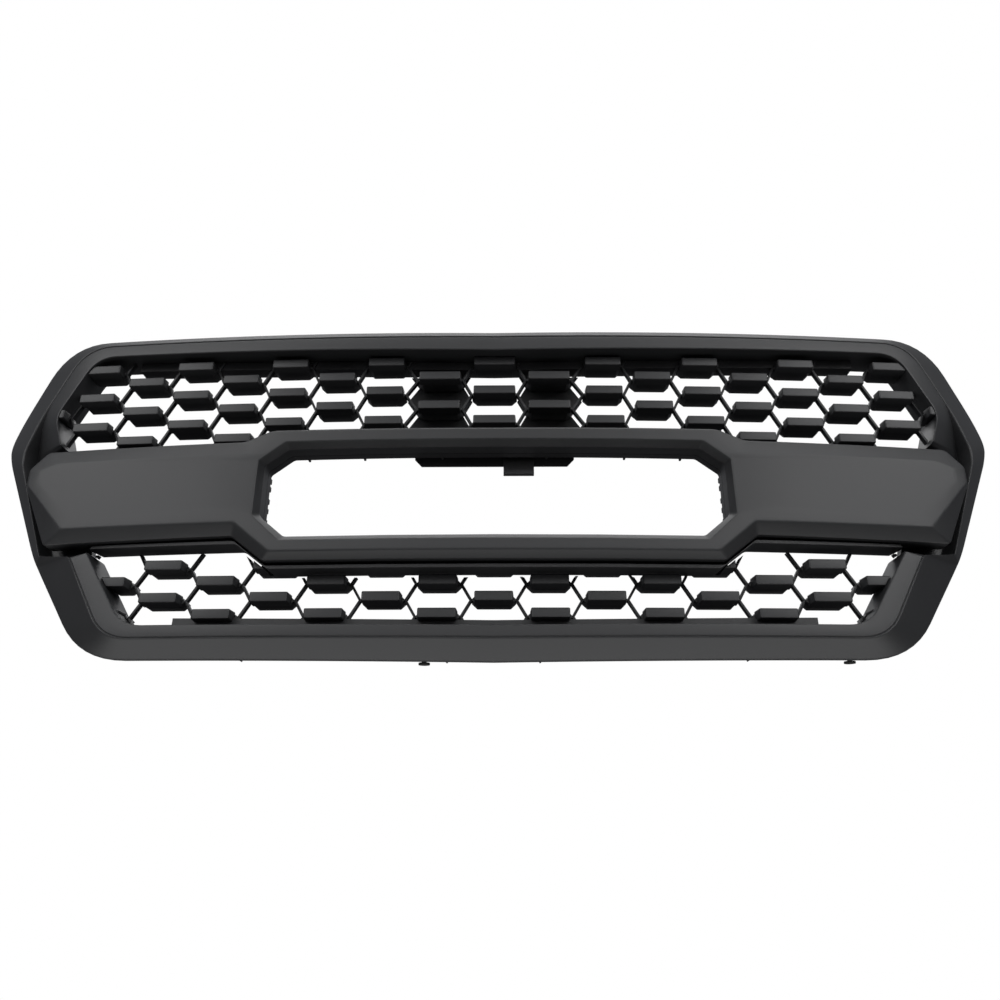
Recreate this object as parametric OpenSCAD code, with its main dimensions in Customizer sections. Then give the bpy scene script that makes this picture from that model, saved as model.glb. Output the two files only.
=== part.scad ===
// Front grille of a pickup truck: surround, two hexagon mesh inserts, a winged centre bar with
// a long opening, its carrier, and the fixings behind. X runs along the grille, the front faces
// -Y and +Z is up. The origin is the middle of the line between the two top bolt holes.

/* [Overall shape] */
// Rearward lean of the front face, degrees
lean_deg = 10; // [6:1:14]
// Distance from the datum line of the bar up to the origin
datum_drop = 226; // [224:1:230]
// Distance from the datum line of the bar back to the origin
datum_back = 136; // [132:1:140]
// Half width of the surround at its widest
half_w = 593; // [586:1:600]
// Wall of the moulded shells
wall = 3; // [2.5:0.1:3.5]

/* [Mesh inserts] */
// Step between neighbouring columns of the lower mesh
low_step = 60; // [59:0.5:61]
// Step between neighbouring rows of the lower mesh
low_row = 18.9; // [18.5:0.1:19.2]
// Step between neighbouring columns of the upper mesh
up_step = 57.8; // [57:0.2:58.4]
// Step between neighbouring rows of the upper mesh
up_row = 20.35; // [20:0.05:20.6]
// Height of a mesh block
block_h = 12.6; // [12:0.2:13]
// Depth of the ribs behind the blocks
rib_depth = 22; // [18:1:22]
// Thickness of a diagonal rib
rib_t = 3; // [2.6:0.2:3.4]
// Depth of a diagonal rib
diagonal_depth = 8; // [6:1:14]

/* [Fixings] */
// Distance between the two top bolt holes
bolt_span = 420; // [400:10:440]
// Radius of a top bolt hole, for an M6 bolt
bolt_r = 3.4; // [3.3:0.1:3.6]
// Distance between the two side bolt holes
side_span = 960; // [950:5:970]
// Distance from the middle to each push retainer
retainer_x = 130; // [120:5:150]
// Travel of a retainer pin as it is released
pin_travel = 6; // [5:1:6]

/* [Hidden] */

lean = tan(lean_deg);
sweep = 0.00015;
sweep_low = 0.00006;
sweep_up = 0.00009;
gap = 0.4;
moulded = [0.17, 0.17, 0.175];
steel = [0.45, 0.46, 0.48];
nylon = [0.08, 0.08, 0.085];

// ---- loops -------------------------------------------------------------------------------
// A loop is a closed outline round the grille. Its corners are [x, z, set-back, rounding] on
// the right half, from the top middle to the bottom middle, and the left half mirrors it.
function lerp(a, b, f) = a + (b - a) * f;
function flat(c) = [c[0], c[1], c[2]];
function toward(a, b, d) = let (n = norm([b[0] - a[0], b[1] - a[1]])) n < 0.01 ? flat(a)
    : lerp(flat(a), flat(b), min(d / n, 0.45));
function bend(a, c, b, arc) = let (p = toward(c, a, c[3]), q = toward(c, b, c[3]))
    [for (i = [0:arc]) let (t = i / arc)
        lerp(lerp(p, flat(c), t), lerp(flat(c), q, t), t)];
function half_loop(c, cuts, arc) = let (n = len(c)) [
    for (i = [0:n - 1]) each concat(
        i == 0 || i == n - 1 ? [flat(c[i])]
            : bend(c[i - 1], c[i], c[i + 1], arc),
        i == n - 1 ? [] : let (
            p = i == 0 ? flat(c[0]) : toward(c[i], c[i + 1], c[i][3]),
            q = i + 1 == n - 1 ? flat(c[n - 1]) : toward(c[i + 1], c[i], c[i + 1][3]))
            [for (k = [1:1:cuts[i] - 1]) lerp(p, q, k / cuts[i])])];
function whole(h) = concat(h, [for (i = [len(h) - 2:-1:1]) [-h[i][0], h[i][1], h[i][2]]]);
function loop(c, cuts, arc) = whole(half_loop(c, cuts, arc));
function mix(a, b, f) = [for (i = [0:len(a) - 1]) lerp(a[i], b[i], f)];
function set(a, off) = [for (p = a) [p[0], p[1], off]];
function back(a, d) = [for (p = a) [p[0], p[1], p[2] + d]];
function shift(a, b, d) = [for (i = [0:len(a) - 1])
    let (v = [b[i][0] - a[i][0], b[i][1] - a[i][1]], n = max(norm(v), 0.01))
    [a[i][0] + v[0] * d / n, a[i][1] + v[1] * d / n, a[i][2]]];
// Grows a loop outwards by d, square to its own direction
function grow(a, d) = let (n = len(a)) [for (i = [0:n - 1])
    let (t = a[(i + 1) % n] - a[(i + n - 1) % n], m = norm([t[0], t[1]]))
    [a[i][0] - t[1] * d / m, a[i][1] + t[0] * d / m, a[i][2]]];
// Lifts the part of a loop that lies under the lower lip, so that it draws in to the rear
function tuck(a) = [for (p = a) [p[0], p[1] + max(0, min(7, -0.12 * (p[1] + 60))), p[2]]];
function at(p, k = sweep) = [p[0], p[2] + lean * p[1] + k * p[0] * p[0], p[1]];

// Skins a closed stack of loops into one shell that runs round the grille
module skin(loops) {
    m = len(loops);
    n = len(loops[0]);
    polyhedron(
        points = [for (l = loops) for (p = l) at(p)],
        faces = [for (j = [0:m - 1]) for (i = [0:n - 1])
            let (a = j * n + i, b = j * n + (i + 1) % n,
                c = ((j + 1) % m) * n + (i + 1) % n, d = ((j + 1) % m) * n + i)
            each [[a, b, c], [a, c, d]]]);
}

// A straight prism along Y whose ends follow the leaning, swept face
module follow(outline, front, rear, k) {
    n = len(outline);
    hull() polyhedron(
        points = concat(
            [for (p = outline) at([p[0], p[1], front], k)],
            [for (p = outline) at([p[0], p[1], rear], k)]),
        faces = concat(
            [[for (i = [0:n - 1]) i], [for (i = [n - 1:-1:0]) n + i]],
            [for (i = [0:n - 1]) [(i + 1) % n, i, n + i, n + (i + 1) % n]]));
}

module home() {
    translate([0, -datum_back, -datum_drop]) children();
}

// ---- surround ----------------------------------------------------------------------------
SUR_CUTS = [6, 2, 2, 1, 3, 1, 3, 5];
band_edge = [[0, 232.5, 18], [531, 242, 20, 52], [584, 142, 44, 30], [half_w, 106, 45, 16],
    [586.5, 84, 45, 10], [527, -42, 45, 18], [514, -62, 45, 12], [441, -167, 36, 52], [0, -174, 36]];
lip_outer = [[0, 222, 9], [503, 230, 10, 34], [546, 140, 20, 20], [561, 92, 25, 8],
    [559, 74, 25, 6], [509, -46, 25, 3], [465, -53, 8, 2], [409, -149, 8, 30], [0, -153, 8]];
groove = [[0, 220.5, 10.5], [502, 228.5, 11.5, 33], [544.5, 139, 21.5, 20], [552, 90, 46, 6],
    [551, 74, 46, 5], [502, -44, 46, 3], [463, -54.5, 9.5, 2], [408, -147.5, 9.5, 29],
    [0, -151.5, 9.5]];
lip_inner = [[0, 201.5, 8], [485, 212, 8, 24], [521, 130, 8, 14], [506, 90, 8, 2],
    [497, 84, 46, 2], [455, -42, 46, 2], [444, -49, 8, 2], [389, -134, 8, 22], [0, -138.5, 8]];
BAND = loop(band_edge, SUR_CUTS, 3);
LIP_OUT = loop(lip_outer, SUR_CUTS, 3);
GROOVE = loop(groove, SUR_CUTS, 3);
LIP_IN = loop(lip_inner, SUR_CUTS, 3);
surround_rear = 60;
band_depth = 26;
RIBS = [3, 9, 13, 18, 29, 34, 38, 42];

module surround_shell() color(moulded) home() difference() {
    union() {
        skin([
            back(tuck(grow(BAND, 2)), band_depth), BAND, LIP_OUT, GROOVE,
            back(shift(GROOVE, LIP_IN, 1), -1.3), LIP_IN, set(LIP_IN, surround_rear),
            set(shift(LIP_IN, LIP_OUT, wall), surround_rear),
            back(shift(LIP_IN, LIP_OUT, wall), wall), back(GROOVE, wall),
            back(shift(BAND, LIP_OUT, wall), wall), back(tuck(grow(BAND, 2 - wall)), band_depth)]);
        for (i = RIBS, m = [i, len(BAND) - i]) shell_rib(m);
        for (p = TOP_SCREWS) boss(p[0], p[1], 7, 24, top_plate_y - 0.4);
        for (p = SIDE_SCREWS) boss(p[0], p[1], 7, 36, side_plate_y - 0.4);
        for (p = concat(UP_SCREWS, LOW_SCREWS)) boss(p[0], p[1], 6, 18, tab_y(p) - 0.4);
    }
    for (p = TOP_SCREWS) pilot(p, top_plate_y);
    for (p = SIDE_SCREWS) pilot(p, side_plate_y);
    for (p = concat(UP_SCREWS, LOW_SCREWS)) pilot(p, tab_y(p));
    for (x = PEG_X) translate([x, peg_y(x), -170]) cylinder(h = 24, r = 2.8, center = true);
}

// One stiffening rib across the channel behind the surround
module shell_rib(i) {
    a = lerp(BAND[i], LIP_IN[i], 0.06);
    b = lerp(LIP_IN[i], BAND[i], 0.06);
    n = [a[1] - b[1], b[0] - a[0], 0] / norm([a[1] - b[1], b[0] - a[0]]);
    P = [for (p = [a, b], s = [-1, 1], d = [2.2, 20]) at(p + n * s + [0, 0, d])];
    hull() polyhedron(points = P, faces = [[0, 1, 3, 2], [4, 6, 7, 5], [0, 4, 5, 1],
        [2, 3, 7, 6], [0, 2, 6, 4], [1, 5, 7, 3]]);
}

// ---- screws, bosses and pilot holes, all along Y -------------------------------------------
screw_r = 2;
head_r = 4.6;
head_h = 2.6;
function face_y(x, z, off) = lean * z + sweep * x * x + off;
function both(l) = [for (p = l, s = [-1, 1]) [s * p[0], p[1]]];
top_plate_y = 113;
side_plate_y = 107;
TOP_SCREWS = both([[100, 212], [185, 213], [275, 216]]);
SIDE_SCREWS = both([[530, 38], [512, -8]]);
UP_SCREWS = both([[20, 209], [232, 213.5], [400, 217]]);
LOW_SCREWS = both([[60, -150], [200, -149], [330, -147]]);
function tab_y(p) = face_y(p[0], max(p[1], p[1] < 0 ? p[1] + 16 : 0), surround_rear + 0.8);

// A round boss from a set-back behind the face to the plane y
module boss(x, z, r, off, y) {
    hull() translate([x, y, z]) rotate([90, 0, 0])
        cylinder(h = y - face_y(x, z, off), r = r, $fn = 8);
}
module pilot(p, y) {
    translate([p[0], y + 1, p[1]]) rotate([90, 0, 0]) cylinder(h = 17, r = 2.5, $fn = 6);
}
// A pan-head screw whose head sits on the plane y
module screw(p, y) {
    translate([p[0], y, p[1]]) rotate([90, 0, 0]) difference() {
        union() {
            translate([0, 0, -head_h]) cylinder(h = head_h, r = head_r, $fn = 32);
            cylinder(h = 15, r = screw_r, $fn = 32);
        }
        translate([0, 0, -head_h - 1]) cylinder(h = 2.4, r = 1.6, $fn = 6);
    }
}

// ---- centre bar --------------------------------------------------------------------------
BAR_CUTS = [5, 1, 4, 3, 1, 1, 3, 4, 1, 5];
open_face = [[0, 77, 0], [233, 77, 0, 2], [250, 63.5, 0, 2], [262, 54, 0, 2], [262, 42, 0, 1],
    [262, 30, 0, 1], [261.7, 0, 0, 1], [261.5, -13.5, 0, 2], [229, -44, 0, 2], [0, -44, 0]];
open_bevel = [[0, 71.5, 13], [231.5, 71.5, 13, 3], [246, 60, 13, 2], [257, 51.5, 13, 3],
    [257, 42, 13, 1], [257, 30, 13, 1], [256.5, 0, 13, 1], [256.5, -10.5, 13, 3],
    [227, -36, 13, 3], [0, -36, 13]];
bar_crease = [[0, 83, 0], [240, 83, 0, 3], [272, 63, 0, 3], [500, 61.5, 0, 8],
    [520, 53, 0, 3], [519, 38, 0, 3], [468, -12, 0, 3], [276, -12, 0, 3], [234, -50, 0, 3],
    [0, -50, 0]];
bar_face = [[0, 90.5, 0], [250, 91.5, 0, 6], [281, 78.5, 1.5, 5], [517, 79, 6, 5],
    [534, 57, 3, 3], [532.5, 36, 2, 3], [477, -22, 0, 3], [280, -21.3, 0, 3],
    [238, -56.7, 0, 3], [0, -57, 0]];
bar_edge = [[0, 93.5, 6], [251, 94.5, 6, 6], [282, 81.5, 8, 5], [520, 82, 12, 5],
    [538, 58, 12, 4], [537, 36, 12, 4], [499, -38, 10, 4], [284, -34.8, 10, 3],
    [246, -65, 10, 3], [0, -65.5, 10]];
bar_rear = 33;
OPEN_FACE = loop(open_face, BAR_CUTS, 1);
OPEN_BEVEL = loop(open_bevel, BAR_CUTS, 1);
CREASE = loop(bar_crease, BAR_CUTS, 1);
BAR_FACE = loop(bar_face, BAR_CUTS, 1);
BAR_EDGE = loop(bar_edge, BAR_CUTS, 1);
BAR_SCREWS = both([[310, 48], [310, 2], [390, 44], [390, 0], [455, 30]]);
function bar_screw_y(p) = face_y(p[0], p[1], carrier_front);

module centre_bar() color(moulded) home() difference() {
    union() {
        skin([
            set(grow(BAR_EDGE, 0.6), bar_rear), BAR_EDGE, BAR_FACE, CREASE,
            mix(CREASE, OPEN_FACE, 0.35), mix(CREASE, OPEN_FACE, 0.7), OPEN_FACE, OPEN_BEVEL,
            set(OPEN_BEVEL, bar_rear), set(grow(OPEN_BEVEL, wall - 0.4), bar_rear),
            set(grow(OPEN_FACE, 0.5), 14), back(mix(CREASE, OPEN_FACE, 0.7), wall + 0.5),
            back(mix(CREASE, OPEN_FACE, 0.35), wall + 0.5), back(CREASE, wall + 0.5),
            back(BAR_FACE, wall + 1.5), back(grow(BAR_EDGE, -wall), 3),
            set(grow(BAR_EDGE, 0.6 - wall), bar_rear)]);
        for (p = BAR_SCREWS) boss(p[0], p[1], 6, 2, bar_screw_y(p) - 0.4);
    }
    for (p = BAR_SCREWS) pilot(p, bar_screw_y(p));
}

// ---- carrier behind the bar --------------------------------------------------------------
// The skirt is [x, z, start of the skirt, rounding]; below the bar it comes further forward
skirt = [[0, 97.5, 30], [252, 98.5, 30, 6], [284, 86.8, 30, 5], [486, 86.8, 34.8, 5],
    [480, 62, 34.9, 4], [450, -41, 34.9, 1], [446, -43, 16, 1], [279, -43, 15, 3],
    [241, -73, 15, 3], [0, -73.5, 15]];
bar_pocket = [[0, 95, 30], [252, 96, 30, 6], [283, 84.2, 30, 5], [483, 84.2, 34.8, 5],
    [477, 61, 34.9, 4], [447, -39.4, 34.9, 1], [443.5, -39.2, 16, 1], [282, -39, 15, 3],
    [245, -69, 15, 3], [0, -69.5, 15]];
SKIRT = loop(skirt, BAR_CUTS, 1);
POCKET = loop(bar_pocket, BAR_CUTS, 1);
carrier_front = 35;
carrier_rear = 58;
skirt_draft = 2;
OPEN_WALL = grow(OPEN_BEVEL, 4.5);
FRAME_SCREWS = both([[45, 87], [78, 87]]);

module bar_carrier() color(moulded) home() difference() {
    union() {
        skin([
            set(grow(SKIRT, -wall - 0.5), carrier_front + wall),
            set(grow(SKIRT, -wall - skirt_draft), carrier_rear),
            set(grow(SKIRT, -skirt_draft), carrier_rear), SKIRT, POCKET, set(POCKET, carrier_front),
            set(OPEN_WALL, carrier_front), set(OPEN_WALL, carrier_front + wall)]);
        for (p = FRAME_SCREWS) boss(p[0], p[1], 5, carrier_front + 1, bracket_y(p) - 1.3);
        for (x = [-216, -120, 120, 216]) follow([[x - 1, 82], [x + 1, 82], [x + 1, 94],
            [x - 1, 94]], carrier_front + 2, carrier_rear - 6, sweep);
    }
    for (p = BAR_SCREWS) translate([p[0], bar_screw_y(p), p[1]]) rotate([90, 0, 0])
        cylinder(h = 12, r = 2.7, $fn = 6, center = true);
    for (p = FRAME_SCREWS) pilot(p, bracket_y(p));
}

// ---- frame round the opening -------------------------------------------------------------
frame_front = 33.6;
frame_rear = 47;
flange_w = 9;

module opening_frame() color(nylon) home() {
    skin([
        set(OPEN_BEVEL, frame_front), set(OPEN_BEVEL, frame_rear),
        set(grow(OPEN_BEVEL, flange_w), frame_rear),
        set(grow(OPEN_BEVEL, flange_w), frame_rear - 2),
        set(grow(OPEN_BEVEL, 2.5), frame_rear - 2), set(grow(OPEN_BEVEL, 2.5), frame_front)]);
    for (s = [-1, 1], z = [-6, 8, 20, 36, 46]) edge_tab(s * 258.4, z, 6);
    for (s = [-1, 1], x = [60, 150, 215]) edge_tab(s * x, 74, 5);
    for (s = [-1, 1], x = [60, 150, 205]) edge_tab(s * x, -38.5, 5);
}

// One short clip tab on the rear edge of the opening frame
module edge_tab(x, z, w) {
    follow([[x - 1.2, z - w / 2], [x + 1.2, z - w / 2], [x + 1.2, z + w / 2],
        [x - 1.2, z + w / 2]], frame_rear - 1, frame_rear + 6, sweep);
}

// Bracket behind the top of the opening, and the spring clip on its lower edge
bracket_off = 54;
function bracket_y(p) = face_y(0, p[1], bracket_off);
module opening_bracket() color(nylon) home() difference() {
    multmatrix([[1, 0, 0, 0], [0, 1, lean, bracket_off + 2.5], [0, 0, 1, 0]])
        rotate([90, 0, 0]) linear_extrude(2.5)
        polygon([[-84, 63], [84, 63], [92, 72], [92, 91], [-92, 91], [-92, 72]]);
    for (p = FRAME_SCREWS) translate([p[0], bracket_y(p), p[1]]) rotate([90, 0, 0])
        cylinder(h = 12, r = 2.6, center = true, $fn = 32);
}
module opening_clip() color(steel) home() translate([28, bracket_off, 0])
    multmatrix([[1, 0, 0, 0], [0, 1, lean, 0], [0, 0, 1, 0]]) union() {
        translate([-17.5, -2.6, 52]) cube([35, 1.8, 22]);
        translate([-17.5, -0.9, 52]) cube([35, 4.2, 1.8]);
        translate([-17.5, 3.2, 52]) cube([35, 1.8, 26]);
    }

// ---- mesh inserts ------------------------------------------------------------------------
// One mesh bar: a stout block in front of a longer hexagonal rib
module mesh_bar(x, z, w, tip, face, depth, k) {
    h = block_h / 2;
    follow([[x - w / 2, z - h], [x + w / 2, z - h], [x + w / 2, z + h], [x - w / 2, z + h]],
        face, face + depth + 1, k);
    follow([[x - tip, z], [x - tip + h, z - h], [x + tip - h, z - h], [x + tip, z],
        [x + tip - h, z + h], [x - tip + h, z + h]],
        face + depth, face + depth + rib_depth, k);
}

// One diagonal rib between the points [xa, za] and [xb, zb]
module diagonal(xa, za, xb, zb, front, k) {
    v = [xb - xa, zb - za] / norm([xb - xa, zb - za]);
    n = [-v[1], v[0]] * rib_t / 2;
    a = [xa, za] - v * 1.2;
    b = [xb, zb] + v * 1.2;
    follow([a - n, b - n, b + n, a + n], front + 1, front + 1 + diagonal_depth, k);
}

up_face = 25;
up_depth = 14;
up_tip = 24;
up_mid_tip = 27;
up_z = 195.5;
function up_x(i) = let (a = abs(i), s = sign(i))
    s * (a < 2 ? a * 64.5 : 129 + (a - 2) * up_step);
function up_half(i) = abs(i) < 2 ? up_mid_tip : up_tip;

module upper_lattice() {
    for (r = [0:6], i = [-10:10]) if ((r + i + 20) % 2 == 0) {
        x = up_x(i);
        z = up_z - r * up_row;
        mesh_bar(x, z, abs(i) < 2 ? 50 : 44, up_half(i), up_face, up_depth, sweep_up);
        if (i < 10) for (s = [-1, 1])
            diagonal(x + up_half(i), z, up_x(i + 1) - up_half(i + 1), z + s * up_row,
                up_face + up_depth, sweep_up);
    }
}

low_face = 35;
low_depth = 20;
low_tip = 24.6;
low_z = -62.7;

module lower_lattice() {
    for (r = [-1:4], i = [-8:8]) if ((r + i + 20) % 2 == 0) {
        x = i * low_step;
        z = low_z - r * low_row;
        if (r >= 0) mesh_bar(x, z, 42.4, low_tip, low_face, low_depth, sweep_low);
        if (i < 8) for (s = r < 0 ? [-1] : [-1, 1])
            diagonal(x + low_tip, z, x + low_step - low_tip, z + s * low_row,
                low_face + low_depth, sweep_low);
    }
}

function xz(l) = [for (p = l) [p[0], p[1]]];
module prism(l) {
    rotate([90, 0, 0]) translate([0, 0, -150]) linear_extrude(300) polygon(xz(l));
}
// The window that a mesh insert fills, shrunk by d, above or below the bar
module window(d, top) {
    difference() {
        prism(grow(LIP_IN, -d));
        prism(grow(BAR_EDGE, 0.6 + d));
        prism(grow(SKIRT, d));
        translate([0, 0, top ? -300 + 20 : 300 + 20]) cube([1300, 600, 600], center = true);
    }
}

// A rim that follows the edge of a window, and on the lower insert only the lip's edge
module rim(top, w, front, rear, k) {
    intersection() {
        difference() {
            window(gap, top);
            if (top) window(gap + w, top);
            else prism(grow(LIP_IN, -gap - w));
        }
        for (x = [-540:180:360]) follow([[x, -200], [x + 180, -200], [x + 180, 260], [x, 260]],
            front, rear, k);
    }
}
// The wide rail of an insert along the lip, w tall and as long as span
module rail(top, w, span, front, rear, k) {
    intersection() {
        difference() {
            window(gap, top);
            translate([0, 0, top ? -w : w]) prism(grow(LIP_IN, -gap));
        }
        for (x = [-span / 2:110:span / 2 - 1]) follow([[x, top ? 150 : -200],
            [x + 110, top ? 150 : -200], [x + 110, top ? 260 : -95], [x, top ? 260 : -95]],
            front, rear, k);
    }
}
function rail_y(p, off, k) = lean * p[1] + k * p[0] * p[0] + off - 6;
up_back = up_face + up_depth + rib_depth;
low_back = low_face + low_depth + rib_depth;

module upper_mesh() color(moulded) home() difference() {
    union() {
        intersection() {
            window(gap + 0.5, true);
            upper_lattice();
        }
        rim(true, 3, up_face + up_depth + 6, up_back, sweep_up);
        rail(true, 11, 880, up_face + up_depth + 3, up_back + 3, sweep_up);
        for (p = UP_SCREWS) screw_tab(p, -22, rail_y(p, up_back, sweep_up));
    }
    for (p = UP_SCREWS) tab_hole(p);
}

module lower_mesh() color(moulded) home() difference() {
    union() {
        intersection() {
            window(gap + 0.5, false);
            lower_lattice();
        }
        rim(false, 3, low_face + low_depth - 4, low_back, sweep_low);
        rail(false, 13, 660, low_face + low_depth - 6, low_back, sweep_low);
        for (p = LOW_SCREWS) screw_tab(p, 22, rail_y(p, low_back - 20, sweep_low));
    }
    for (p = LOW_SCREWS) tab_hole(p);
}

// A tab behind the surround that carries a screw, with a web back to the rail of the insert
module screw_tab(p, reach, web_y) {
    y = tab_y(p);
    low = reach < 0 ? p[1] + reach : p[1] - 7;
    web_z = reach < 0 ? low : low + reach;
    translate([p[0] - 8, y, low]) cube([16, 2.6, abs(reach) + 7]);
    translate([p[0] - 8, web_y, web_z]) cube([16, y + 1 - web_y, 7]);
}
module tab_hole(p) {
    translate([p[0], tab_y(p), p[1]]) rotate([90, 0, 0])
        cylinder(h = 12, r = 2.7, $fn = 6, center = true);
}

// Flat panels that close the cells beside the middle column, with edges that follow the cells
function odd(r) = r % 2;
module blank_panel(s) color(moulded) home() intersection() {
    follow([[s > 0 ? 20 : -110, 100], [s > 0 ? 110 : -20, 100], [s > 0 ? 110 : -20, 190.3],
        [s > 0 ? 20 : -110, 190.3]], up_back + 1.4, up_back + 3.4, sweep_up);
    prism(concat(
        [for (r = [0:5]) [s * lerp(27, 37.5, odd(r)), up_z - r * up_row]],
        [for (r = [5:-1:0]) [s * lerp(105, 91.5, odd(r)), up_z - r * up_row]]));
}
module blank_panel_left() blank_panel(-1);
module blank_panel_right() blank_panel(1);

// ---- brackets and fixings ----------------------------------------------------------------
plate_t = 3;
plate_half = 300;
plate_rear = 152;
plate_drop = 24;
module top_bracket() color(steel) home() difference() {
    union() {
        translate([-plate_half, top_plate_y, datum_drop - plate_t])
            cube([2 * plate_half, plate_rear - top_plate_y, plate_t]);
        translate([-plate_half, top_plate_y, datum_drop - plate_drop])
            cube([2 * plate_half, plate_t, plate_drop]);
    }
    for (x = [-bolt_span / 2, bolt_span / 2]) translate([x, datum_back, datum_drop - 10])
        cylinder(h = 20, r = bolt_r, $fn = 48);
    for (x = [-retainer_x, retainer_x]) translate([x, datum_back, datum_drop - 10])
        cylinder(h = 20, r = 4.4, $fn = 48);
    for (p = TOP_SCREWS) translate([p[0], top_plate_y, p[1]]) rotate([90, 0, 0])
        cylinder(h = 12, r = 2.6, center = true, $fn = 32);
}

module side_bracket(s) color(steel) home() difference() {
    translate([0, side_plate_y + plate_t, 0]) rotate([90, 0, 0]) linear_extrude(plate_t)
        polygon([for (p = [[462, 44], [462, -2], [490, -24], [524, -22], [544, 30], [538, 50],
            [516, 54]]) [s * p[0], p[1]]]);
    translate([s * side_span / 2, side_plate_y, 20]) rotate([90, 0, 0])
        cylinder(h = 12, r = bolt_r, center = true, $fn = 48);
    for (p = SIDE_SCREWS) translate([p[0], side_plate_y, p[1]]) rotate([90, 0, 0])
        cylinder(h = 12, r = 2.6, center = true, $fn = 32);
}
module side_bracket_left() side_bracket(-1);
module side_bracket_right() side_bracket(1);

module top_bracket_screws() color(steel) home()
    for (p = TOP_SCREWS) screw(p, top_plate_y + plate_t);
module side_bracket_screws() color(steel) home()
    for (p = SIDE_SCREWS) screw(p, side_plate_y + plate_t);
module upper_mesh_screws() color(steel) home()
    for (p = UP_SCREWS) screw(p, tab_y(p) + 2.6);
module lower_mesh_screws() color(steel) home()
    for (p = LOW_SCREWS) screw(p, tab_y(p) + 2.6);
module bar_screws() color(steel) home()
    for (p = BAR_SCREWS) screw(p, bar_screw_y(p) + wall + 3);
module opening_bracket_screws() color(steel) home()
    for (p = FRAME_SCREWS) screw(p, bracket_y(p) + 2.5 + 1);

// Push retainers: a flanged sleeve snapped in the top bracket and the pin that spreads it
pin_r = 2.1;
sleeve_r = 4.1;
module retainer_body(s) color(nylon) home()
    translate([s * retainer_x, datum_back, datum_drop]) difference() {
        union() {
            translate([0, 0, 0.05]) cylinder(h = 3, r = 9, $fn = 48);
            translate([0, 0, -14]) cylinder(h = 15, r = sleeve_r, $fn = 48);
            translate([0, 0, -10]) cylinder(h = 5.5, r1 = sleeve_r, r2 = 5.4, $fn = 48);
        }
        translate([0, 0, -20]) cylinder(h = 40, r = pin_r + 0.06, $fn = 48);
        for (a = [0, 90]) rotate([0, 0, a]) translate([0, 0, -12])
            cube([14, 1, 14], center = true);
    }
module retainer_body_left() retainer_body(-1);
module retainer_body_right() retainer_body(1);
module retainer_pin(s) color(nylon) home()
    translate([s * retainer_x, datum_back, datum_drop]) {
        translate([0, 0, -16]) cylinder(h = 20, r = pin_r, $fn = 48);
        translate([0, 0, 3.15]) cylinder(h = 1.6, r = 5, $fn = 48);
    }
module retainer_pin_left() retainer_pin(-1);
module retainer_pin_right() retainer_pin(1);

// Rubber pegs under the lower edge that locate the surround on the bumper cover
PEG_X = [-72, 375];
function peg_y(x) = face_y(x, -175, 51);
function peg_z(x) = -172.6 + 0.0156 * abs(x);
module peg(x) color(nylon) home() translate([x, peg_y(x), peg_z(x)]) {
    translate([0, 0, -2]) cylinder(h = 2, r = 6, $fn = 32);
    cylinder(h = 7, r = 2.5, $fn = 32);
}
module locating_peg_left() peg(PEG_X[0]);
module locating_peg_right() peg(PEG_X[1]);

module bracket_pads() color(nylon) home()
    for (x = [-262, 0, 262]) translate([x - 15, top_plate_y + 8, datum_drop + 0.1])
        cube([30, 22, 4]);

surround_shell();
centre_bar();
bar_carrier();
opening_frame();
upper_mesh();
lower_mesh();
blank_panel_left();
blank_panel_right();
opening_bracket();
opening_clip();
top_bracket();
top_bracket_screws();
side_bracket_left();
side_bracket_right();
side_bracket_screws();
upper_mesh_screws();
lower_mesh_screws();
bar_screws();
opening_bracket_screws();
retainer_body_left();
retainer_body_right();
retainer_pin_left();
retainer_pin_right();
locating_peg_left();
locating_peg_right();
bracket_pads();
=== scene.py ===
import math

import bmesh
import bpy
from mathutils import Matrix, Vector


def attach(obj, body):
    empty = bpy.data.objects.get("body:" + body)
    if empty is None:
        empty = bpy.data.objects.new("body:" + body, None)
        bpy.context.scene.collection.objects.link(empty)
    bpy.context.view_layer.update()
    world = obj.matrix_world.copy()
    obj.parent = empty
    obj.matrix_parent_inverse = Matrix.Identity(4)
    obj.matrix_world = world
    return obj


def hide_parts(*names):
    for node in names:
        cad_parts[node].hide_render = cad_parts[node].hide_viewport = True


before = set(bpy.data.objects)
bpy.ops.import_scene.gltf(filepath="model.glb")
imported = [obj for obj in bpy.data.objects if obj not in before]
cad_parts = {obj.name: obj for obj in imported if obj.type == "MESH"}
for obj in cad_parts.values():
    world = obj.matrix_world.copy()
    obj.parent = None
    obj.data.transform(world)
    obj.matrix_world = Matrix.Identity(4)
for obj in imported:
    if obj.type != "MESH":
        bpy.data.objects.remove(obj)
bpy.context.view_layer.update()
MM = 0.001


# ---- camera, stage and light -----------------------------------------------------------------
CAMERA_PLACE = (0.0141, -1.1594, -0.5706)
CAMERA_BACK = (0.01307, -0.9476, -0.3191)
CAMERA_ROLL = 0.10


def make_camera():
    data = bpy.data.cameras.new("camera")
    data.lens = 36.25
    data.sensor_width = 36.0
    data.shift_x = 0.00645
    cam = bpy.data.objects.new("camera", data)
    back = Vector(CAMERA_BACK).normalized()
    right = Vector((0, 0, 1)).cross(back).normalized()
    up = back.cross(right)
    turn = Matrix((right, up, back)).transposed()
    cam.matrix_world = (Matrix.Translation(CAMERA_PLACE) @ turn.to_4x4()
                        @ Matrix.Rotation(math.radians(CAMERA_ROLL), 4, "Z"))
    bpy.context.collection.objects.link(cam)
    bpy.context.scene.camera = cam


make_camera()
bpy.context.scene.view_settings.view_transform = "Standard"


LIGHT_AIM = Vector((0, -0.1, -0.2))


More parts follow.
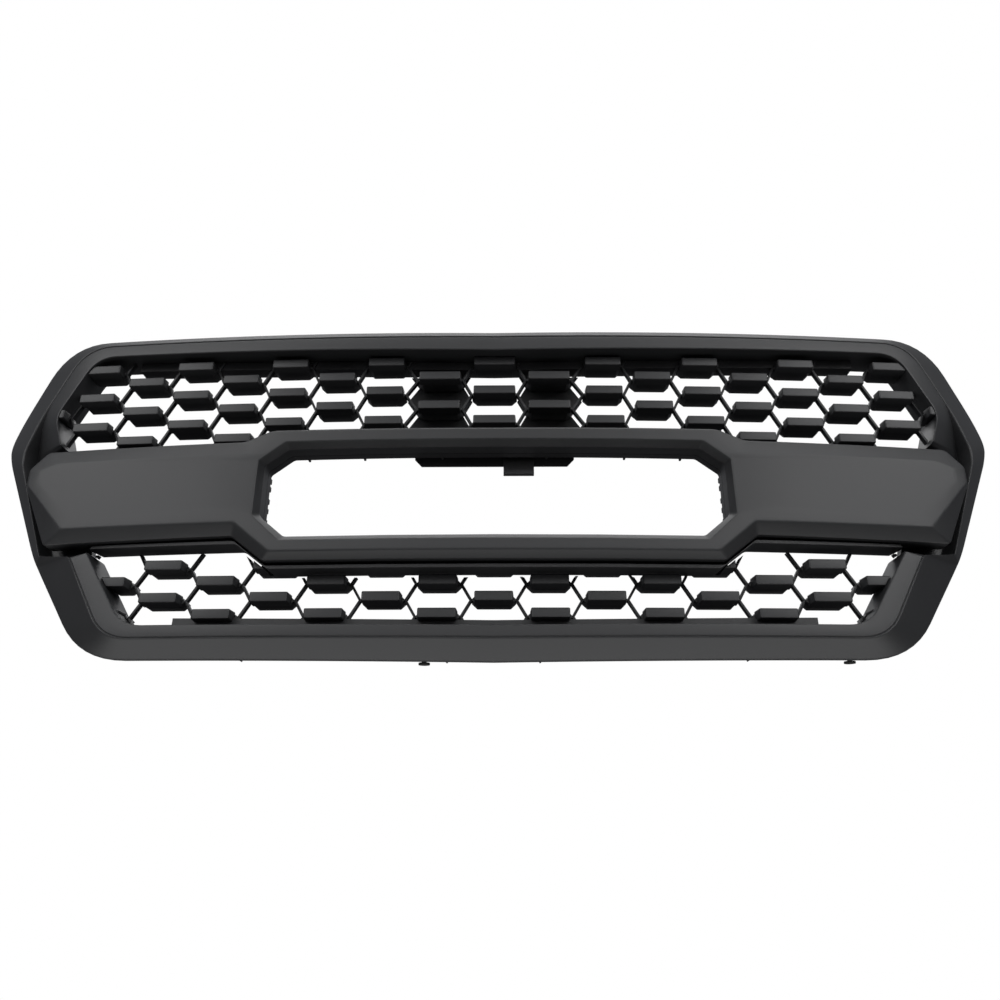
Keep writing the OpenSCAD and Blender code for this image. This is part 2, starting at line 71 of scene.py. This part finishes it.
def area(name, azimuth, elevation, distance, size, radiance):
    """A softbox that looks at the middle of the grille. Azimuth 0 is straight in front."""
    a, e = math.radians(azimuth), math.radians(elevation)
    away = Vector((math.sin(a) * math.cos(e), -math.cos(a) * math.cos(e), math.sin(e)))
    light = bpy.data.lights.new(name, "AREA")
    light.shape = "RECTANGLE"
    light.size, light.size_y = size
    light.energy = radiance * math.pi * size[0] * size[1]
    obj = bpy.data.objects.new(name, light)
    obj.location = LIGHT_AIM + away * distance
    obj.rotation_euler = away.to_track_quat("Z", "Y").to_euler()
    obj.visible_camera = False
    bpy.context.collection.objects.link(obj)


area("light_front", 0, 35, 2.6, (2.4, 1.2), 0.8)
area("light_fill", 0, 12, 3.2, (3.0, 1.5), 0.7)
area("light_left", -52, 34, 2.6, (1.3, 1.6), 3.4)
area("light_right", 50, 34, 2.6, (1.3, 1.6), 3.6)
area("light_top", 0, 98, 2.2, (2.6, 1.2), 3.2)
area("light_rear", 180, 40, 3.0, (2.4, 1.4), 1.5)
area("light_under", 0, -80, 0.75, (2.4, 1.0), 1.3)


def make_world():
    """White where the camera looks, and a soft sky that is dark underneath for the light."""
    world = bpy.data.worlds.new("studio")
    bpy.context.scene.world = world
    world.use_nodes = True
    nt = world.node_tree
    nt.nodes.clear()
    out = nt.nodes.new("ShaderNodeOutputWorld")
    mix = nt.nodes.new("ShaderNodeMixShader")
    path = nt.nodes.new("ShaderNodeLightPath")
    seen = nt.nodes.new("ShaderNodeBackground")
    seen.inputs["Color"].default_value = (1, 1, 1, 1)
    sky = nt.nodes.new("ShaderNodeBackground")
    coord = nt.nodes.new("ShaderNodeTexCoord")
    split = nt.nodes.new("ShaderNodeSeparateXYZ")
    ramp = nt.nodes.new("ShaderNodeValToRGB")
    span = nt.nodes.new("ShaderNodeMapRange")
    span.inputs["From Min"].default_value = -1
    ramp.color_ramp.elements[0].position = 0.36
    ramp.color_ramp.elements[0].color = (0.03, 0.03, 0.032, 1)
    ramp.color_ramp.elements[1].position = 0.72
    ramp.color_ramp.elements[1].color = (0.2, 0.205, 0.22, 1)
    nt.links.new(coord.outputs["Generated"], split.inputs[0])
    nt.links.new(split.outputs["Z"], span.inputs["Value"])
    nt.links.new(span.outputs["Result"], ramp.inputs["Fac"])
    nt.links.new(ramp.outputs["Color"], sky.inputs["Color"])
    nt.links.new(path.outputs["Is Camera Ray"], mix.inputs[0])
    nt.links.new(sky.outputs[0], mix.inputs[1])
    nt.links.new(seen.outputs[0], mix.inputs[2])
    nt.links.new(mix.outputs[0], out.inputs["Surface"])


make_world()


# ---- materials -------------------------------------------------------------------------------
def plastic(name, dark, light, rough, grain, bump, metal=0.0, spec=0.5, mottle=6.0):
    """Moulded or painted surface: slow colour variation, fine grain in roughness and in bump."""
    mat = bpy.data.materials.new(name)
    mat.use_nodes = True
    nt = mat.node_tree
    shader = nt.nodes["Principled BSDF"]
    shader.inputs["Metallic"].default_value = metal
    shader.inputs["Specular IOR Level"].default_value = spec
    coord = nt.nodes.new("ShaderNodeTexCoord")
    slow = nt.nodes.new("ShaderNodeTexNoise")
    slow.inputs["Scale"].default_value = mottle
    slow.inputs["Detail"].default_value = 4
    fine = nt.nodes.new("ShaderNodeTexNoise")
    fine.inputs["Scale"].default_value = grain
    fine.inputs["Detail"].default_value = 3
    fine.inputs["Roughness"].default_value = 0.6
    tone = nt.nodes.new("ShaderNodeValToRGB")
    tone.color_ramp.elements[0].position = 0.3
    tone.color_ramp.elements[0].color = (*dark, 1)
    tone.color_ramp.elements[1].position = 0.7
    tone.color_ramp.elements[1].color = (*light, 1)
    blend = nt.nodes.new("ShaderNodeMix")
    blend.inputs[0].default_value = 0.35
    gloss = nt.nodes.new("ShaderNodeMapRange")
    gloss.inputs["To Min"].default_value = rough - 0.05
    gloss.inputs["To Max"].default_value = rough + 0.07
    relief = nt.nodes.new("ShaderNodeBump")
    relief.inputs["Strength"].default_value = bump
    relief.inputs["Distance"].default_value = 0.0002
    for node in (slow, fine):
        nt.links.new(coord.outputs["Object"], node.inputs["Vector"])
    nt.links.new(slow.outputs["Fac"], blend.inputs[2])
    nt.links.new(fine.outputs["Fac"], blend.inputs[3])
    nt.links.new(blend.outputs[0], tone.inputs["Fac"])
    nt.links.new(blend.outputs[0], gloss.inputs["Value"])
    nt.links.new(fine.outputs["Fac"], relief.inputs["Height"])
    nt.links.new(tone.outputs["Color"], shader.inputs["Base Color"])
    nt.links.new(gloss.outputs["Result"], shader.inputs["Roughness"])
    nt.links.new(relief.outputs["Normal"], shader.inputs["Normal"])
    return mat


SATIN = plastic("satin_moulded", (0.016, 0.0165, 0.0175), (0.024, 0.0245, 0.026), 0.46, 1400, 0.22)
MATTE = plastic("matte_structural", (0.013, 0.013, 0.014), (0.02, 0.02, 0.021), 0.55, 1100, 0.3)
NYLON = plastic("nylon_black", (0.015, 0.015, 0.016), (0.024, 0.024, 0.026), 0.42, 900, 0.2)
PAINT = plastic("painted_steel", (0.018, 0.018, 0.02), (0.03, 0.03, 0.032), 0.38, 700, 0.25)
SPRING = plastic("spring_steel", (0.16, 0.16, 0.165), (0.24, 0.24, 0.25), 0.34, 800, 0.2, 1.0)
ZINC = plastic("screw_steel", (0.3, 0.3, 0.31), (0.42, 0.42, 0.43), 0.32, 900, 0.2, 1.0)
RUBBER = plastic("peg_rubber", (0.012, 0.012, 0.012), (0.02, 0.02, 0.02), 0.7, 600, 0.35, 0.0, 0.3)
FOAM = plastic("pad_foam", (0.02, 0.02, 0.02), (0.045, 0.045, 0.045), 0.9, 500, 0.9, 0.0, 0.2)


# ---- loops round the grille, in millimetres ----------------------------------------------------
LEAN = math.tan(math.radians(10))
SWEEP, SWEEP_LOW, SWEEP_UP = 0.00015, 0.00006, 0.00009
DATUM_BACK, DATUM_DROP = 136, 226


def at(p, k=SWEEP):
    return Vector((p[0], p[2] + LEAN * p[1] + k * p[0] * p[0] - DATUM_BACK, p[1] - DATUM_DROP)) * MM


def lerp(a, b, t):
    return tuple(u + (v - u) * t for u, v in zip(a, b))


def toward(a, b, d):
    n = math.hypot(b[0] - a[0], b[1] - a[1])
    return a[:3] if n < 0.01 else lerp(a[:3], b[:3], min(d / n, 0.45))


def loop(corners, cuts, arc):
    """A closed outline from the corners of its right half, each [x, z, set-back, rounding]."""
    half, last = [], len(corners) - 1
    for i, c in enumerate(corners):
        if i in (0, last):
            half.append(tuple(c[:3]))
        else:
            p, q = toward(c, corners[i - 1], c[3]), toward(c, corners[i + 1], c[3])
            for s in range(arc + 1):
                t = s / arc
                half.append(lerp(lerp(p, c[:3], t), lerp(c[:3], q, t), t))
        if i < last:
            a = half[-1]
            b = tuple(corners[last][:3]) if i + 1 == last else toward(
                corners[i + 1], c, corners[i + 1][3])
            half += [lerp(a, b, s / cuts[i]) for s in range(1, cuts[i])]
    return half + [(-x, z, y) for x, z, y in half[-2:0:-1]]


def mix(a, b, f):
    return [lerp(p, q, f) for p, q in zip(a, b)]


def put(a, off):
    return [(p[0], p[1], off) for p in a]


def back(a, d):
    return [(p[0], p[1], p[2] + d) for p in a]


def shift(a, b, d):
    out = []
    for p, q in zip(a, b):
        v = (q[0] - p[0], q[1] - p[1])
        n = max(math.hypot(*v), 0.01)
        out.append((p[0] + v[0] * d / n, p[1] + v[1] * d / n, p[2]))
    return out


def grow(a, d):
    out, n = [], len(a)
    for i, p in enumerate(a):
        t = (a[(i + 1) % n][0] - a[i - 1][0], a[(i + 1) % n][1] - a[i - 1][1])
        m = math.hypot(*t)
        out.append((p[0] - t[1] * d / m, p[1] + t[0] * d / m, p[2]))
    return out


def tuck(a):
    return [(x, z + max(0, min(7, -0.12 * (z + 60))), y) for x, z, y in a]


def fillet(loops, radii, steps=4):
    """Rounds the section of a stack of loops, with one radius for each loop."""
    out, n = [], len(loops)
    for j, (line, r) in enumerate(zip(loops, radii)):
        if not r:
            out.append(line)
            continue
        rows = [[] for _ in range(steps + 1)]
        for p, a, b in zip(line, loops[j - 1], loops[(j + 1) % n]):
            u = lerp(p, a, min(r / max(math.dist(p, a), 0.01), 0.45))
            v = lerp(p, b, min(r / max(math.dist(p, b), 0.01), 0.45))
            for s, row in enumerate(rows):
                t = s / steps
                row.append(lerp(lerp(u, p, t), lerp(p, v, t), t))
        out += rows
    return out


# ---- mesh helpers ----------------------------------------------------------------------------
SHARP = 38


def finish_mesh(name, bm, mat):
    bmesh.ops.recalc_face_normals(bm, faces=bm.faces)
    mesh = bpy.data.meshes.new(name)
    bm.to_mesh(mesh)
    bm.free()
    mesh.shade_smooth()
    mesh.set_sharp_from_angle(angle=math.radians(SHARP))
    mesh.materials.append(mat)
    obj = bpy.data.objects.new(name, mesh)
    bpy.context.collection.objects.link(obj)
    return obj


def skin(bm, loops, k=SWEEP, closed=True):
    rows = [[bm.verts.new(at(p, k)) for p in line] for line in loops]
    n = len(rows[0])
    for j in range(len(rows) if closed else len(rows) - 1):
        a, b = rows[j], rows[(j + 1) % len(rows)]
        for i in range(n):
            bm.faces.new((a[i], b[i], b[(i + 1) % n], a[(i + 1) % n]))
    if not closed:
        bm.faces.new(rows[0])
        bm.faces.new(rows[-1][::-1])
    return rows


def prism(bm, outline, front, rear, k, draft=0.0, bevel=0.0, steps=2):
    """A prism between two set-backs, with its front drawn in by draft and its edges rounded."""
    cx = sum(p[0] for p in outline) / len(outline)
    cz = sum(p[1] for p in outline) / len(outline)

    def inset(p):
        return (p[0] - math.copysign(draft, p[0] - cx), p[1] - math.copysign(draft, p[1] - cz))
    f = [bm.verts.new(at((*inset(p), front), k)) for p in outline]
    r = [bm.verts.new(at((*p, rear), k)) for p in outline]
    n = len(outline)
    faces = [bm.faces.new(f[::-1]), bm.faces.new(r)]
    faces += [bm.faces.new((f[i], f[(i + 1) % n], r[(i + 1) % n], r[i])) for i in range(n)]
    bmesh.ops.recalc_face_normals(bm, faces=faces)
    if bevel:
        rear_edges = set(faces[1].edges)
        edges = [e for e in {e for face in faces for e in face.edges} if e not in rear_edges]
        edges.sort(key=lambda e: tuple(round(c, 6) for v in e.verts for c in v.co))
        bmesh.ops.bevel(bm, geom=edges, offset=bevel * MM, segments=steps, profile=0.6,
                        affect="EDGES", clamp_overlap=True)


def carve(obj, cutter, how):
    """Boolean with a closed cutter, which is then removed."""
    mod = obj.modifiers.new("cut", "BOOLEAN")
    mod.object, mod.operation, mod.solver = cutter, how, "MANIFOLD"
    deps = bpy.context.evaluated_depsgraph_get()
    mesh = bpy.data.meshes.new_from_object(obj.evaluated_get(deps))
    obj.modifiers.clear()
    old = obj.data
    obj.data = mesh
    bpy.data.meshes.remove(old)
    bpy.data.objects.remove(cutter, do_unlink=True)


def place(obj, slot, *nodes):
    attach(obj, "grille")
    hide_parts(*nodes)


# ---- surround --------------------------------------------------------------------------------
SUR_CUTS = [18, 5, 3, 2, 8, 2, 6, 16]
BAND = loop([[0, 232.5, 18], [531, 242, 20, 52], [584, 142, 44, 30], [593, 106, 45, 16],
             [586.5, 84, 45, 10], [527, -42, 45, 18], [514, -62, 45, 12], [441, -167, 36, 52],
             [0, -174, 36]], SUR_CUTS, 8)
LIP_OUT = loop([[0, 222, 9], [503, 230, 10, 34], [546, 140, 20, 20], [561, 92, 25, 8],
                [559, 74, 25, 6], [509, -46, 25, 3], [465, -53, 8, 2], [409, -149, 8, 30],
                [0, -153, 8]], SUR_CUTS, 8)
GROOVE = loop([[0, 220.5, 10.5], [502, 228.5, 11.5, 33], [544.5, 139, 21.5, 20],
               [552, 90, 46, 6], [551, 74, 46, 5], [502, -44, 46, 3], [463, -54.5, 9.5, 2],
               [408, -147.5, 9.5, 29], [0, -151.5, 9.5]], SUR_CUTS, 8)
LIP_IN = loop([[0, 201.5, 8], [485, 212, 8, 24], [521, 130, 8, 14], [506, 90, 8, 2],
               [497, 84, 46, 2], [455, -42, 46, 2], [444, -49, 8, 2], [389, -134, 8, 22],
               [0, -138.5, 8]], SUR_CUTS, 8)


WALL, BAND_DEPTH, SURROUND_REAR = 3, 26, 60
TOP_BOSS_END, SIDE_BOSS_END = 112.6, 106.6


def surround():
    bm = bmesh.new()
    outside, inside = tuck(grow(BAND, 2)), shift(LIP_IN, LIP_OUT, WALL)
    stack = [back(outside, BAND_DEPTH), BAND, LIP_OUT, GROOVE,
             back(shift(GROOVE, LIP_IN, 1), -1.3), LIP_IN, put(LIP_IN, SURROUND_REAR),
             put(inside, SURROUND_REAR), back(inside, WALL), back(GROOVE, WALL),
             back(shift(BAND, LIP_OUT, WALL), WALL), back(tuck(grow(BAND, 2 - WALL)), BAND_DEPTH)]
    radii = [0.8, 5, 3, 0.5, 0.6, 2.2, 0.8, 0, 0, 0, 0, 0]
    skin(bm, fillet(stack, radii))
    for x, z in TOP_SCREWS:
        boss(bm, x, z, 7, 24, TOP_BOSS_END)
    for x, z in SIDE_SCREWS:
        boss(bm, x, z, 7, 36, SIDE_BOSS_END)
    for x, z in UP_SCREWS + LOW_SCREWS:
        boss(bm, x, z, 6, 18, tab_y(x, z) - 0.4)
    for i in range(6, len(BAND) // 2, 9):
        straight = abs(BAND[i][0]) < 500 and (BAND[i][1] > 200 or BAND[i][1] < -120)
        for m in (i, len(BAND) - i) if straight else ():
            shell_rib(bm, m)
    place(finish_mesh("surround_skin", bm, SATIN), "moulded_black", "surround_shell")


BOSS_SIDES = 20
PILOT_MOUTH, PILOT, PILOT_DEPTH = 2.5, 2.2, 12


def both(points):
    return [(s * x, z) for x, z in points for s in (-1, 1)]


TOP_SCREWS = both([(100, 212), (185, 213), (275, 216)])
SIDE_SCREWS = both([(530, 38), (512, -8)])
UP_SCREWS = both([(20, 209), (232, 213.5), (400, 217)])
LOW_SCREWS = both([(60, -150), (200, -149), (330, -147)])


def face_y(x, z, off):
    return LEAN * z + SWEEP * x * x + off


def tab_y(x, z):
    return face_y(x, max(z, z + 16 if z < 0 else 0), 60.8)


def boss(bm, x, z, r, off, y):
    """A screw boss with a pilot hole, along Y from a set-back behind the face to the plane y."""
    start, rings = face_y(x, z, off), []
    for rad, depth in ((r, start), (r, y - 0.6), (r - 0.6, y), (PILOT_MOUTH, y),
                       (PILOT, y - PILOT_DEPTH)):
        rings.append([bm.verts.new(Vector((x + rad * math.cos(a), depth - DATUM_BACK,
                                           z - DATUM_DROP + rad * math.sin(a))) * MM)
                      for a in [math.tau * i / BOSS_SIDES for i in range(BOSS_SIDES)]])
    for a, b in zip(rings, rings[1:]):
        for i in range(BOSS_SIDES):
            j = (i + 1) % BOSS_SIDES
            bm.faces.new((a[i], a[j], b[j], b[i]))
    bm.faces.new(rings[0])
    bm.faces.new(rings[-1])


def shell_rib(bm, m):
    a, b = lerp(BAND[m], LIP_IN[m], 0.06), lerp(LIP_IN[m], BAND[m], 0.06)
    d = math.hypot(a[0] - b[0], a[1] - b[1])
    n = ((a[1] - b[1]) / d, (b[0] - a[0]) / d)
    v = [bm.verts.new(at((p[0] + n[0] * s, p[1] + n[1] * s, p[2] + e)))
         for p in (a, b) for s in (-0.9, 0.9) for e in (2.2, 20)]
    for f in ((0, 1, 3, 2), (4, 6, 7, 5), (0, 4, 5, 1), (2, 3, 7, 6), (0, 2, 6, 4), (1, 5, 7, 3)):
        bm.faces.new([v[i] for i in f])


surround()

# ---- centre bar, carrier and opening frame -----------------------------------------------------
BAR_CUTS = [14, 2, 12, 4, 3, 2, 8, 12, 2, 14]
OPEN_FACE = loop([[0, 77, 0], [233, 77, 0, 2], [250, 63.5, 0, 2], [262, 54, 0, 2],
                  [262, 42, 0, 1], [262, 30, 0, 1], [261.7, 0, 0, 1], [261.5, -13.5, 0, 2],
                  [229, -44, 0, 2], [0, -44, 0]], BAR_CUTS, 4)
OPEN_BEVEL = loop([[0, 71.5, 13], [231.5, 71.5, 13, 3], [246, 60, 13, 2], [257, 51.5, 13, 3],
                   [257, 42, 13, 1], [257, 30, 13, 1], [256.5, 0, 13, 1], [256.5, -10.5, 13, 3],
                   [227, -36, 13, 3], [0, -36, 13]], BAR_CUTS, 4)
CREASE = loop([[0, 83, 0], [240, 83, 0, 3], [272, 63, 0, 3], [500, 61.5, 0, 8], [520, 53, 0, 3],
               [519, 38, 0, 3], [468, -12, 0, 3], [276, -12, 0, 3], [234, -50, 0, 3],
               [0, -50, 0]], BAR_CUTS, 4)
BAR_FACE = loop([[0, 90.5, 0], [250, 91.5, 0, 6], [281, 78.5, 1.5, 5], [517, 79, 6, 5],
                 [534, 57, 3, 3], [532.5, 36, 2, 3], [477, -22, 0, 3], [280, -21.3, 0, 3],
                 [238, -56.7, 0, 3], [0, -57, 0]], BAR_CUTS, 4)
BAR_EDGE = loop([[0, 93.5, 6], [251, 94.5, 6, 6], [282, 81.5, 8, 5], [520, 82, 12, 5],
                 [538, 58, 12, 4], [537, 36, 12, 4], [499, -38, 10, 4], [284, -34.8, 10, 3],
                 [246, -65, 10, 3], [0, -65.5, 10]], BAR_CUTS, 4)
SKIRT = loop([[0, 97.5, 30], [252, 98.5, 30, 6], [284, 86.8, 30, 5], [486, 86.8, 34.8, 5],
              [480, 62, 34.9, 4], [450, -41, 34.9, 1], [446, -43, 16, 1], [279, -43, 15, 3],
              [241, -73, 15, 3], [0, -73.5, 15]], BAR_CUTS, 4)
POCKET = loop([[0, 95, 30], [252, 96, 30, 6], [283, 84.2, 30, 5], [483, 84.2, 34.8, 5],
               [477, 61, 34.9, 4], [447, -39.4, 34.9, 1], [443.5, -39.2, 16, 1],
               [282, -39, 15, 3], [245, -69, 15, 3], [0, -69.5, 15]], BAR_CUTS, 4)


BAR_REAR, CARRIER_REAR, FRAME_REAR = 33, 58, 47


def centre_bar():
    bm = bmesh.new()
    inner = [mix(CREASE, OPEN_FACE, f) for f in (0.35, 0.7)]
    stack = [put(grow(BAR_EDGE, 0.6), BAR_REAR), BAR_EDGE, BAR_FACE, CREASE, *inner, OPEN_FACE,
             OPEN_BEVEL, put(OPEN_BEVEL, BAR_REAR), put(grow(OPEN_BEVEL, 2.6), BAR_REAR),
             put(grow(OPEN_FACE, 0.5), 14), back(inner[1], 3.5), back(inner[0], 3.5),
             back(CREASE, 3.5), back(BAR_FACE, 4.5), back(grow(BAR_EDGE, -3), 3),
             put(grow(BAR_EDGE, -2.4), BAR_REAR)]
    radii = [0.6, 1.4, 2.4, 4, 0, 0, 1.4, 0.7, 0.5, 0, 0, 0, 0, 0, 0, 0, 0]
    skin(bm, fillet(stack, radii))
    for x, z in BAR_SCREWS:
        boss(bm, x, z, 6, 3.6, face_y(x, z, 34.6))
    place(finish_mesh("bar_skin", bm, SATIN), "moulded_black", "centre_bar")


BAR_SCREWS = both([(310, 48), (310, 2), (390, 44), (390, 0), (455, 30)])


def carrier():
    bm = bmesh.new()
    wall = grow(OPEN_BEVEL, 4.5)
    stack = [put(grow(SKIRT, -3.5), 38), put(grow(SKIRT, -5), CARRIER_REAR),
             put(grow(SKIRT, -2), CARRIER_REAR),
             SKIRT, POCKET, put(POCKET, 35), put(wall, 35), put(wall, 38)]
    skin(bm, fillet(stack, [0, 0.5, 0.8, 0.6, 0.3, 0, 0, 0]))
    for x in (-78, -45, 45, 78):
        boss(bm, x, 87, 5, 36, face_y(0, 87, 54) - 1.3)
    place(finish_mesh("carrier_skin", bm, MATTE), "moulded_black", "bar_carrier")


def opening_frame():
    bm = bmesh.new()
    edge = OPEN_BEVEL
    stack = [put(edge, 33.6), put(edge, FRAME_REAR), put(grow(edge, 9), FRAME_REAR),
             put(grow(edge, 9), 45),
             put(grow(edge, 2.5), 45), put(grow(edge, 2.5), 33.6)]
    skin(bm, fillet(stack, [0, 0.6, 0.5, 0.5, 0, 0]))
    tabs = [(s * 258.4, z, 6) for s in (-1, 1) for z in (-6, 8, 20, 36, 46)]
    tabs += [(s * x, 74, 5) for s in (-1, 1) for x in (60, 150, 215)]
    tabs += [(s * x, -38.5, 5) for s in (-1, 1) for x in (60, 150, 205)]
    for x, z, w in tabs:
        prism(bm, [(x - 1.2, z - w / 2), (x + 1.2, z - w / 2), (x + 1.2, z + w / 2),
                   (x - 1.2, z + w / 2)], 46, 53, SWEEP, 0, 0.4)
    place(finish_mesh("opening_trim", bm, NYLON), "nylon_black", "opening_frame")


centre_bar()
carrier()
opening_frame()


# ---- mesh inserts ----------------------------------------------------------------------------
BLOCK_H, RIB = 12.6, 22
UP_STEP, UP_MIDDLE, UP_ROW, UP_Z = 57.8, 64.5, 20.35, 195.5
LOW_STEP, LOW_ROW, LOW_Z = 60, 18.9, -62.7
UP_TIP, UP_MIDDLE_TIP, LOW_TIP = 24, 27, 24.6
UP_FACE, UP_DEPTH = 25, 14
LOW_FACE, LOW_DEPTH = 35, 20


def mesh_bar(bm, x, z, w, tip, face, depth, k):
    h = BLOCK_H / 2
    prism(bm, [(x - w / 2, z - h), (x + w / 2, z - h), (x + w / 2, z + h), (x - w / 2, z + h)],
          face, face + depth + 1, k, 0.7, 1.7, 3)
    prism(bm, [(x - tip, z), (x - tip + h, z - h), (x + tip - h, z - h), (x + tip, z),
               (x + tip - h, z + h), (x - tip + h, z + h)], face + depth, face + depth + RIB, k,
          0, 0.8, 2)


def diagonal(bm, xa, za, xb, zb, front, k):
    n = math.hypot(xb - xa, zb - za)
    v = ((xb - xa) / n, (zb - za) / n)
    w = (-v[1] * 1.4, v[0] * 1.4)
    a = (xa - v[0] * 1.2, za - v[1] * 1.2)
    b = (xb + v[0] * 1.2, zb + v[1] * 1.2)
    prism(bm, [(a[0] - w[0], a[1] - w[1]), (b[0] - w[0], b[1] - w[1]), (b[0] + w[0], b[1] + w[1]),
               (a[0] + w[0], a[1] + w[1])], front + 1, front + 9, k, 0, 0.5)


def up_x(i):
    a = abs(i)
    return math.copysign(a * UP_MIDDLE if a < 2 else 2 * UP_MIDDLE + (a - 2) * UP_STEP, i)


def up_tip(i):
    return UP_MIDDLE_TIP if abs(i) < 2 else UP_TIP


def cutter(loops, k=SWEEP):
    bm = bmesh.new()
    skin(bm, loops, k, False)
    return finish_mesh("cutter", bm, SATIN)


AHEAD, BEHIND = -60, 160


def trim(obj):
    """Cuts an insert to the lip of the surround, to the bar and to the carrier."""
    window = grow(LIP_IN, -0.9)
    carve(obj, cutter([put(window, AHEAD), put(window, BEHIND)]), "INTERSECT")
    seat = grow(SKIRT, 0.9)
    carve(obj, cutter([put(seat, AHEAD), put(seat, CARRIER_REAR + 0.8)]), "DIFFERENCE")
    inner = grow(SKIRT, -9)
    carve(obj, cutter([put(inner, 20), put(inner, BEHIND)]), "DIFFERENCE")
    front = grow(BAR_EDGE, 1.5)
    carve(obj, cutter([put(front, AHEAD), put(front, CARRIER_REAR + 0.8)]), "DIFFERENCE")


def upper_mesh():
    bm = bmesh.new()
    for r in range(7):
        for i in range(-10, 11):
            if (r + i) % 2:
                continue
            x, z, tip = up_x(i), UP_Z - r * UP_ROW, up_tip(i)
            mesh_bar(bm, x, z, 50 if abs(i) < 2 else 44, tip, UP_FACE, UP_DEPTH, SWEEP_UP)
            if i < 10:
                other = up_x(i + 1) - up_tip(i + 1)
                for s in (-1, 1):
                    diagonal(bm, x + tip, z, other, z + s * UP_ROW, UP_FACE + UP_DEPTH, SWEEP_UP)
    return finish_mesh("upper_lattice", bm, SATIN)


def lower_mesh():
    bm = bmesh.new()
    for r in range(-1, 5):
        for i in range(-8, 9):
            if (r + i) % 2:
                continue
            x, z = i * LOW_STEP, LOW_Z - r * LOW_ROW
            if r >= 0:
                mesh_bar(bm, x, z, 42.4, LOW_TIP, LOW_FACE, LOW_DEPTH, SWEEP_LOW)
            if i < 8:
                for s in ((-1,) if r < 0 else (-1, 1)):
                    diagonal(bm, x + LOW_TIP, z, x + LOW_STEP - LOW_TIP, z + s * LOW_ROW,
                             LOW_FACE + LOW_DEPTH, SWEEP_LOW)
    return finish_mesh("lower_lattice", bm, SATIN)


def rail(bm, drop, span, front, rear, k):
    """The rail of an insert, a band that runs just inside the lip."""
    side = [p for p in grow(LIP_IN, -0.5) if abs(p[0]) <= span / 2 and (p[1] > 0) == (drop < 0)]
    side.sort()
    for a, b in zip(side, side[1:]):
        prism(bm, [(a[0], a[1]), (b[0], b[1]), (b[0], b[1] + drop), (a[0], a[1] + drop)],
              front, rear, k)


def add_rails(obj, drop, span, front, rear, k):
    bm = bmesh.new()
    bm.from_mesh(obj.data)
    rail(bm, drop, span, front, rear, k)
    bm.to_mesh(obj.data)
    bm.free()
    obj.data.shade_smooth()
    obj.data.set_sharp_from_angle(angle=math.radians(SHARP))


up = upper_mesh()
low = lower_mesh()
trim(up)
trim(low)
add_rails(up, -11, 900, 42, 64, SWEEP_UP)
add_rails(low, 13, 690, 49, 77, SWEEP_LOW)
place(up, "structural_black", "upper_mesh")
place(low, "structural_black", "lower_mesh")

# ---- finishes of the carried-over nodes --------------------------------------------------------
FINISH = {
    "blank_panel_left": MATTE, "blank_panel_right": MATTE,
    "opening_bracket": NYLON, "opening_clip": SPRING, "top_bracket": PAINT,
    "side_bracket_left": PAINT, "side_bracket_right": PAINT, "top_bracket_screws": ZINC,
    "side_bracket_screws": ZINC, "upper_mesh_screws": ZINC, "lower_mesh_screws": ZINC,
    "bar_screws": ZINC, "opening_bracket_screws": ZINC, "retainer_body_left": NYLON,
    "retainer_body_right": NYLON, "retainer_pin_left": NYLON, "retainer_pin_right": NYLON,
    "locating_peg_left": RUBBER, "locating_peg_right": RUBBER, "bracket_pads": FOAM,
}
for name, mat in FINISH.items():
    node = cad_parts[name]
    for s in node.material_slots:
        s.material = mat
    if not node.material_slots:
        node.data.materials.append(mat)


FLOOR_Z, FLOOR_Y, FLOOR_HALF = -1.0, 0.1, 1.7


def make_floor():
    bm = bmesh.new()
    bmesh.ops.create_grid(bm, x_segments=8, y_segments=8, size=FLOOR_HALF)
    for v in bm.verts:
        v.co.z = FLOOR_Z
        v.co.y += FLOOR_Y
    mat = plastic("pale_floor", (0.74, 0.74, 0.74), (0.8, 0.8, 0.8), 0.6, 300, 0.05)
    floor = finish_mesh("floor", bm, mat)
    floor.visible_diffuse = False
    floor.visible_glossy = False


make_floor()
